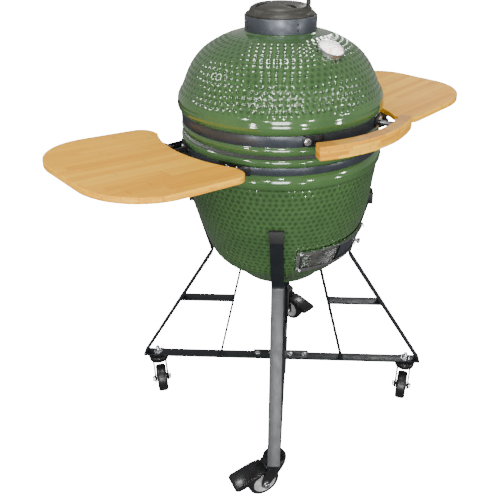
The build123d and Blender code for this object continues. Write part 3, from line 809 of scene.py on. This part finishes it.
def bar_section(width, thickness, round_over=1.0 * MM, steps=3):
    """A flat bar's cross-section as (across, through) points."""
    ring = []
    for k, (sx, sy) in enumerate(((1, 1), (-1, 1), (-1, -1), (1, -1))):
        for i in range(steps + 1):
            angle = pi / 2 * (k + i / steps)
            x = sx * (width / 2 - round_over) + round_over * cos(angle)
            y = sy * (thickness / 2 - round_over) + round_over * sin(angle)
            ring.append((x, y))
    return ring


def flat_bar(bm, path, place, foot=None, head=None):
    """Sweep a flat bar along a path of (radius, height), its ends cut level at a height if one is given."""
    path = [Vector(p) for p in path]
    rings = []
    for i, point in enumerate(path):
        before, after = path[max(0, i - 1)], path[min(len(path) - 1, i + 1)]
        along = (after - before).normalized()
        normal = Vector((-along.y, along.x))
        level = foot if i == 0 else head if i == len(path) - 1 else None
        ring = []
        for across, through in bar_section(BAR_W, BAR_T):
            at = point + normal * through
            if level is not None:
                at = at + along * ((level - at.y) / along.y)
            ring.append(place @ Vector((at.x, across, at.y)))
        rings.append(ring)
    skin(bm, rings)


def weld_bead(bm, start, end, place, rng, radius=2.2 * MM):
    """A rippled bead of weld between two points of a quarter frame."""
    start, end = Vector(start), Vector(end)
    count = max(4, int((end - start).length / (1.3 * MM)))
    swell = [0.85 + 0.15 * cos(2.1 * i) + rng.uniform(-0.06, 0.06) for i in range(count + 1)]
    swell[0] *= 0.45
    swell[-1] *= 0.45
    tube(bm, [place @ start.lerp(end, i / count) for i in range(count + 1)], radius, swell=swell)


def radius_at(bar, height):
    """Where a straight bar, given by its ends, passes a height."""
    (r0, z0), (r1, z1) = bar[:2]
    slope = (r1 - r0) / (z1 - z0)
    return r0 + slope * (height - z0)


def stand_quarter(name, rng):
    """One quarter of the stand as bent and welded flat bar."""
    place = polar(FRAME_BEARINGS[name])
    floor, rung = FLOOR_Z + BAR_T / 2, RUNG_Z + BAR_T / 2
    inner, outer = radius_at(STRUT, rung) + BAR_T / 2, radius_at(LEG, rung) - BAR_T / 2
    bm = bmesh.new()
    flat_bar(bm, [(radius, floor) for radius in FLOOR_BAR], place)
    flat_bar(bm, bent_path(LEG, BEND_R), place, foot=FLOOR_TOP)
    flat_bar(bm, STRUT, place, foot=FLOOR_TOP, head=STRUT[1][1])
    flat_bar(bm, [(inner, rung), (outer, rung)], place)
    foot, end = 4 * MM, BAR_W / 2 - 1 * MM  # how far a foot's beads lie from its middle, and their ends
    feet = (LEG[0][0] - foot, STRUT[0][0] - foot, STRUT[0][0] + foot)
    beads = [(radius, FLOOR_TOP) for radius in feet]
    beads += [(radius, height) for radius in (inner, outer) for height in (RUNG_Z, RUNG_Z + BAR_T)]
    for radius, height in beads:
        weld_bead(bm, (radius, -end, height), (radius, end, height), place, rng)
    finished(bm, f"frame_bars_{name}", "base", "stand_steel", f"stand_frame_{name}")


def stand():
    rng = random.Random(21)
    for name in CORNERS:
        stand_quarter(name, rng)
    softened("cross_connector", 0.8, "stand_steel")
    softened("bowl_pads", 2.0, "black_rubber", segments=3)
    bm = bmesh.new()
    for group in islands("connector_bolts"):
        x, y, _ = (group.min(0) + group.max(0)) / 2
        low, high = group[:, 2].min(), group[:, 2].max()
        top = FLOOR_TOP + 5 * MM
        hex_bolt(bm, Matrix.Translation((x, y, top)), 13 * MM, high - top - 1.6 * MM, 9 * MM)
        under = facing((x, y, FLOOR_Z), (0, 0, -1))
        hex_bolt(bm, under, 13 * MM, 6 * MM, 8 * MM)
        lathe(bm, [(4 * MM, low), (4 * MM, FLOOR_Z)], 16, Matrix.Translation((x, y, 0)))
    finished(bm, "connector_bolt_set", "base", "zinc", "connector_bolts")


stand()


# ---- casters
# Outlines in mm, as (radius, distance from the wheel's middle plane).
TREAD = [(33.0, 15.2), (36.0, 15.9), (39.5, 15.9), (42.6, 14.6), (44.9, 11.6), (45.8, 7.2), (46.0, 2.4)]
WEB = [(5.1, 16.6), (5.6, 17.0), (11.4, 17.0), (12.2, 16.2), (13.2, 12.6), (15.0, 10.6), (27.6, 9.4),
       (30.0, 11.0), (31.2, 14.6), (32.2, 15.2), (33.0, 14.8)]
RIB = [(12.4, 14.6), (30.6, 12.8), (30.6, 9.0), (12.4, 9.0)]
RIBS, RIB_HALF = 10, 1.1
BEARING_COVER = [(5.3, 17.0), (5.3, 17.5), (9.6, 17.5), (10.6, 17.1), (10.9, 16.8)]
FORK_SEAT = 23 * MM


def mirrored(outline):
    """An outline given for one side of a wheel, completed with its mirror image, in metres."""
    return in_mm(outline + [(r, -h) for r, h in reversed(outline)])


def caster(name):
    joint = JOINTS[f"wheel_spin_{name}"]
    place = facing(joint["pos_m"], joint["axis"])
    faces = (place, place @ Matrix.Rotation(pi, 4, "X"))
    wheel = f"wheel_{name}"
    bm = bmesh.new()
    lathe(bm, mirrored(TREAD), 96, place, closed=True)
    finished(bm, f"tyre_{name}", wheel, "caster_tread", f"caster_tyre_{name}")

    bm = bmesh.new()
    lathe(bm, mirrored(WEB), 72, place, closed=True)
    for face in (1, -1):
        for i in range(RIBS):
            rib = place @ Matrix.Rotation(2 * pi * i / RIBS, 4, "Z")
            sides = [in_mm([(r, half, face * h) for r, h in RIB]) for half in (-RIB_HALF, RIB_HALF)]
            skin(bm, [[rib @ Vector(point) for point in side] for side in sides])
    finished(bm, f"hub_{name}", wheel, "caster_plastic", f"caster_wheel_{name}", look="caster_hub")

    bm = bmesh.new()
    for face in faces:
        lathe(bm, in_mm(BEARING_COVER), 48, face, closed=True)
    finished(bm, f"bearing_covers_{name}", wheel, "zinc")

    softened(f"caster_fork_{name}", 1.0, "black_steel", segments=3)
    bm = bmesh.new()
    for face in faces:
        hex_bolt(bm, face @ Matrix.Translation((0, 0, FORK_SEAT)), 15.6 * MM, 6.6 * MM, 10.5 * MM)
    finished(bm, f"axle_nuts_{name}", f"caster_{name}", "zinc")


def caster_stems():
    """Swivel plates and threaded stems under each corner, with the nut on top of the bar."""
    plates, nuts = bmesh.new(), bmesh.new()
    plate = [(5, -17), (5, -10), (31, -10), (33, -8), (33, -4.5), (30, -1.4), (20, 0), (6, 0)]
    threads, thread_pitch, thread_z = 6, 1.9, 17
    for group in islands("caster_stems"):
        x, y, _ = (group.min(0) + group.max(0)) / 2
        under = Matrix.Translation((x, y, FLOOR_Z))
        lathe(plates, in_mm(plate), 72, under)
        lathe(nuts, in_mm([(6.0, 0), (6.0, 27.5), (5.2, 29)]), 24, under)
        for i in range(threads):
            crest = thread_z + thread_pitch * i
            thread = [(6.35, crest), (6.0, crest + 0.6), (6.0, crest - 0.6)]
            lathe(nuts, in_mm(thread), 24, under, closed=True)
        hex_bolt(nuts, Matrix.Translation((x, y, FLOOR_TOP)), 19 * MM, 7.4 * MM, 14 * MM)
    finished(plates, "swivel_plates", "base", "caster_plastic", "caster_stems")
    finished(nuts, "stem_nuts", "base", "zinc")


for corner in CORNERS:
    caster(corner)
caster_stems()
for corner in ("front_left", "rear_right"):
    softened(f"brake_pedal_{corner}", 1.4, "caster_plastic", segments=3)


# ---- bands, hinge, handle and shelves
def radial_bolts(node, name, body, across, washer):
    """Hexagon bolts that stand out from a strap, where the CAD has plain heads."""
    bm = bmesh.new()
    for seat, height in bolt_seats(node):
        hex_bolt(bm, seat, across, height - WASHER_T * across, washer)
    finished(bm, name, body, "zinc", node)


def hinge_hardware():
    softened("hinge_base_bracket", 0.7, "black_steel")
    softened("hinge_lid_bracket", 0.7, "black_steel")
    low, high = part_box("hinge_pin")
    y, z = (low.y + high.y) / 2, (low.z + high.z) / 2
    radius = (high.z - low.z) / 2
    cap_length = 5 * MM
    left, right = low.x + cap_length, high.x - cap_length
    bm = bmesh.new()
    cap = [(radius, 0), (radius + 3 * MM, 0.3 * MM), (radius + 3 * MM, 1.6 * MM), (radius, 2.6 * MM),
           (0.6 * radius, 4.4 * MM), (0.2 * radius, cap_length)]
    for end, axis in ((left, (-1, 0, 0)), (right, (1, 0, 0))):
        lathe(bm, cap, 32, facing((end, y, z), axis))
    lathe(bm, [(radius, 0), (radius, right - left)], 32, facing((left, y, z), (1, 0, 0)))
    finished(bm, "hinge_pin_capped", "base", "zinc", "hinge_pin")

    bm = bmesh.new()
    wire, coil, turns = 1.6 * MM, 10.2 * MM, 11
    start, end = 8 * MM, 44 * MM
    for side in (-1, 1):
        points = [(side * start, y - coil, z - drop) for drop in (22 * MM, 15 * MM, 8 * MM)]
        for i in range(turns * 20 + 1):
            t = i / (turns * 20)
            angle = 2 * pi * turns * t + pi
            along = side * (start + (end - start) * t)
            points.append((along, y + coil * cos(angle), z + coil * sin(angle)))
        tube(bm, points, wire)
    finished(bm, "torsion_springs", "base", "zinc", "hinge_springs", sharp=60)


def straps_and_handle():
    softened("base_band", 0.5, "dark_steel")
    softened("lid_band", 0.5, "dark_steel")
    softened("handle_brackets", 0.6, "black_steel")
    softened("shelf_brackets", 0.7, "black_steel")
    radial_bolts("strap_bolts", "shelf_bracket_bolts", "base", 10.5 * MM, 7.5 * MM)
    radial_bolts("handle_bolts", "handle_bracket_bolts", "lid", 13 * MM, 9 * MM)
    for side in SIDES:
        softened(f"shelf_arms_{side}", 0.6, "black_steel")


def damper():
    softened("damper_collar", 1.0, "cast_iron", look="damper_collar")
    softened("damper_cap", 1.0, "cast_iron", look="damper_cap")
    low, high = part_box("damper_knob")
    foot = Matrix.Translation(((low.x + high.x) / 2, (low.y + high.y) / 2, low.z))
    outline = [(5.2, 0), (5.2, 12), (4.6, 13), (4.6, 14.5), (5.6, 15.5), (6.0, 16.5), (6.0, 25), (5.4, 26.3),
               (4.0, 27)]
    ridges, ridge_run = 18, (16.8 * MM, 24.8 * MM)
    bm = bmesh.new()
    lathe(bm, in_mm(outline), 48, foot)
    for i in range(ridges):
        ridge = foot @ polar(360 / ridges * i, 5.75 * MM)
        tube(bm, [ridge @ Vector((0, 0, height)) for height in ridge_run], 0.25 * MM, 6)
    finished(bm, "damper_knob_turned", "damper", "black_steel", "damper_knob", look="black_rubber")

    bm = bmesh.new()
    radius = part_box("damper_collar")[1].x
    for i in range(4):
        for height in COLLAR_SCREW_Z:
            at = polar(90 * i + COLLAR_SCREW_TURN, radius - 0.3 * MM, height)
            dome_bolt(bm, at @ Matrix.Rotation(pi / 2, 4, "Y"), 2.6 * MM, 1.3 * MM)
    finished(bm, "collar_screws", "lid", "cast_iron", look="black_rubber")


# The scale runs clockwise from its zero, in degrees from the dial's X.
SCALE_ZERO, SCALE_SPAN, SCALE_STEPS, HOT_FROM = 215, 250, 50, 39


def dial_scale(place):
    """Ticks, the last of them red, between two arcs."""
    black, red = bmesh.new(), bmesh.new()
    for i in range(SCALE_STEPS + 1):
        angle = radians(SCALE_ZERO - SCALE_SPAN / SCALE_STEPS * i)
        major = i % 5 == 0
        inner, outer, half = (20.5 if major else 22.5) * MM, 25.5 * MM, (0.55 if major else 0.30) * MM
        tick = place @ Matrix.Rotation(angle, 4, "Z")
        corners = ((inner, -half), (outer, -half), (outer, half), (inner, half))
        levels = (DIAL_FACE, DIAL_FACE + 0.15 * MM)
        ink = red if i >= HOT_FROM else black
        skin(ink, [[tick @ Vector((r, across, z)) for r, across in corners] for z in levels])
    for radius in (26.3 * MM, 19.2 * MM):
        turns = np.linspace(radians(SCALE_ZERO - SCALE_SPAN), radians(SCALE_ZERO), 90)
        arc = [place @ around(radius, turn, DIAL_FACE + 0.1 * MM) for turn in turns]
        tube(black, arc, 0.16 * MM, 4)
    finished(black, "dial_ticks", "lid", "dial_white", look="dial_black")
    finished(red, "dial_hot_ticks", "lid", "needle_red")


def dial_numbers(place):
    ring, lift, count = 15.2 * MM, DIAL_FACE + 0.08 * MM, 6
    bm = bmesh.new()
    for i in range(count):
        angle = radians(SCALE_ZERO - SCALE_SPAN / (count - 1) * i)
        text = bpy.data.curves.new("number", "FONT")
        text.body = str(100 * i)
        text.size, text.extrude = 5.2 * MM, 0.08 * MM
        text.align_x, text.align_y = "CENTER", "CENTER"
        number = put("number", text)
        number.matrix_world = place @ Matrix.Translation(around(ring, angle, lift))
        bpy.context.view_layer.update()
        evaluated = number.evaluated_get(bpy.context.evaluated_depsgraph_get())
        mesh = bpy.data.meshes.new_from_object(evaluated)
        mesh.transform(number.matrix_world)
        bm.from_mesh(mesh)
        bpy.data.objects.remove(number)
    finished(bm, "dial_numbers", "lid", "dial_white", look="dial_black")


def dial_pointer():
    hand = gauge_place(SCALE_SPAN / 2)
    half = [(0.25, 23.5), (1.1, 4), (1.3, 0), (1.1, -8)]
    outline = half + [(-x, y) for x, y in reversed(half)]
    bm = bmesh.new()
    skin(bm, [[hand @ Vector((x * MM, y * MM, z)) for x, y in outline] for z in POINTER])
    lathe(bm, in_mm([(2.5, 3.6), (2.5, 4.8), (1.8, 5.4)]), 24, hand)
    finished(bm, "dial_pointer", "needle", "needle_red", "thermometer_needle")


def thermometer():
    softened("thermometer_housing", 1.2, "stainless", segments=4)
    dial_scale(gauge_place())
    dial_numbers(gauge_place())
    dial_pointer()


hinge_hardware()
straps_and_handle()
damper()
thermometer()


# ---- draft door
VENT_LOW, VENT_HIGH = (corner.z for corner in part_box("vent_frame"))


CONE_R = (207.6 * MM, 233.0 * MM)  # at the foot and the top of the vent frame
SCREEN_RUN = (-29.3, -0.4)  # bearings of its ends


def vent_point(bearing, height, out):
    """A point that stands off the cone behind the draft door."""
    share = (height - VENT_LOW) / (VENT_HIGH - VENT_LOW)
    radius = CONE_R[0] + (CONE_R[1] - CONE_R[0]) * share + out
    return polar(bearing) @ Vector((radius, 0, height))


def draft_screen():
    """Woven wire in a folded edge, in place of the perforated sheet."""
    low, high = VENT_LOW + 4 * MM, VENT_HIGH - 4 * MM
    first, last = SCREEN_RUN
    pitch, wire, lift = 3.0 * MM, 0.38 * MM, 0.34 * MM
    out, edge, half = 3.6 * MM, 4 * MM, 0.6 * MM
    columns = round(radians(last - first) * 0.224 / pitch)
    bearings = np.linspace(first + 0.5, last - 0.5, columns)
    heights = np.linspace(low + 2 * MM, high - 2 * MM, round((high - low) / pitch))
    bm = bmesh.new()
    for i, bearing in enumerate(bearings):
        weave = [out + lift * (-1) ** (i + j) for j in range(len(heights))]
        tube(bm, [vent_point(bearing, z, o) for z, o in zip(heights, weave)], wire, 5)
    for j, z in enumerate(heights):
        weave = [out - lift * (-1) ** (i + j) for i in range(len(bearings))]
        tube(bm, [vent_point(bearing, z, o) for bearing, o in zip(bearings, weave)], wire, 5)
    for z0, z1 in ((low, low + edge), (high - edge, high)):
        corners = ((z0, out - half), (z1, out - half), (z1, out + half), (z0, out + half))
        skin(bm, [[vent_point(b, z, o) for z, o in corners] for b in np.linspace(first, last, 24)])
    for b0, b1 in ((first, first + 1.0), (last - 1.0, last)):
        corners = ((b0, out - half), (b1, out - half), (b1, out + half), (b0, out + half))
        skin(bm, [[vent_point(b, z, o) for b, o in corners] for z in np.linspace(low, high, 6)])
    finished(bm, "screen_mesh", "draft_screen", "stainless", "draft_screen", look="vent_steel")


def vent_hardware():
    draft_screen()
    softened("vent_frame", 0.4, "stainless")
    softened("draft_door", 0.3, "dark_steel")
    bm = bmesh.new()
    for seat, height in bolt_seats("vent_bolts"):
        dome_bolt(bm, seat, 4.5 * MM, height)
    finished(bm, "vent_screws", "base", "zinc", "vent_bolts")


vent_hardware()
softened("fire_box", 2.0, "fire_clay", segments=3)
softened("fire_ring", 2.0, "fire_clay", segments=3)
softened("charcoal_grate", 1.0, "cast_iron")


# ---- materials of the CAD nodes that stay
SLOT_OF = {part["node"]: part["material_slot"] for part in frame["record"]["subparts"]}
for node, piece in NODES.items():
    name = SLOT_OF[node]
    if node == "handle_grip":
        name = "bamboo_handle"
    if node.startswith("shelf_board"):
        name = node.replace("shelf", "bamboo")
    piece.data.materials.clear()
    piece.data.materials.append(LOOKS[name])


# ---- floor, lights and camera
def stage_set(name, look, profile):
    """A turned surface that belongs to the studio."""
    bm = bmesh.new()
    lathe(bm, profile, 64)
    mesh = to_mesh(bm, name)
    mesh.materials.append(look.material)
    thing = put(name, mesh)
    return thing


def backdrop():
    """A pale floor and wall that only the camera sees, so that they don't wash out the glaze."""
    sockets = {"Specular IOR Level": 0.0, "Emission Color": (1, 1, 1, 1), "Emission Strength": 20.0}
    look = Look("studio_white", sockets)
    look.shades(look.noise(3, 3), (0.88, 0.88, 0.88), (0.92, 0.92, 0.92))
    look.rough(look.noise(40), 0.3, 0.7, 0.8, 0.9)
    sweep = [(0.001, 0.0), (6.0, 0.0), (8.0, 0.4), (9.2, 1.6), (9.6, 3.4), (9.2, 6.5), (7.0, 9.0),
             (3.5, 10.3), (0.001, 10.6)]
    wall = stage_set("backdrop", look, sweep)
    wall.data.shade_smooth()
    wall.visible_diffuse = wall.visible_glossy = wall.visible_shadow = False


def dark_ground():
    """A dark cloth that only reflections and bounced light see, as the floor of a black-flagged studio."""
    look = Look("dark_cloth", {"Specular IOR Level": 0.0})
    look.shades(look.noise(30), (0.10, 0.10, 0.10), (0.14, 0.14, 0.14))
    look.rough(look.noise(90), 0.3, 0.7, 0.85, 0.95)
    stage_set("dark_cloth", look, [(6.0, -0.012), (6.0, -0.004)]).visible_camera = False


def softbox(name, where, size, power, target=(0, 0, 0.9)):
    """A square lamp in metres and watts, turned to its target."""
    data = bpy.data.lights.new(name, "AREA")
    data.shape, data.size, data.size_y, data.energy = "RECTANGLE", size, size, power
    aim = Vector(target) - Vector(where)
    turn = aim.to_track_quat("-Z", "Y").to_matrix().to_4x4()
    put(name, data).matrix_world = Matrix.Translation(where) @ turn


def studio():
    world = bpy.data.worlds.new("studio")
    world.use_nodes = True
    glow = world.node_tree.nodes["Background"].inputs
    glow["Color"].default_value, glow["Strength"].default_value = (1, 1, 1, 1), 0.42
    bpy.context.scene.world = world
    softbox("key_left", (-2.9, -0.5, 2.2), 0.24, 24)
    softbox("key_right", (1.5, -2.6, 2.1), 0.24, 24)
    softbox("high_front", (-1.5, -1.7, 3.0), 0.22, 16)
    softbox("mid_left", (-2.6, -1.7, 1.9), 0.2, 12)
    softbox("mid_front", (-0.6, -2.9, 1.7), 0.2, 12)
    softbox("low_left", (-2.8, -1.0, 0.80), 0.2, 14)
    softbox("low_front", (-1.0, -2.8, 0.60), 0.2, 14)
    softbox("low_right", (0.9, -2.7, 0.85), 0.2, 14)
    softbox("front", (-2.0, -2.2, 1.3), 0.9, 62, target=(0, 0, 0.3))
    softbox("top", (0.0, 0.1, 3.2), 0.4, 22, target=(0, 0, 1))
    softbox("back_left", (-1.7, 1.7, 2.6), 0.4, 18)
    softbox("back_right", (2.3, 1.2, 2.6), 0.4, 16)


def photographer():
    data = bpy.data.cameras.new("camera")
    data.lens, data.sensor_width = 42.35, 36
    data.shift_x, data.shift_y = -0.061, 0.007
    camera = put("camera", data)
    camera.location = (-1.041, -1.131, 1.4255)
    camera.rotation_euler = (radians(90 - 30.4), 0, radians(-42.6))
    bpy.context.scene.camera = camera


backdrop()
dark_ground()
studio()
photographer()
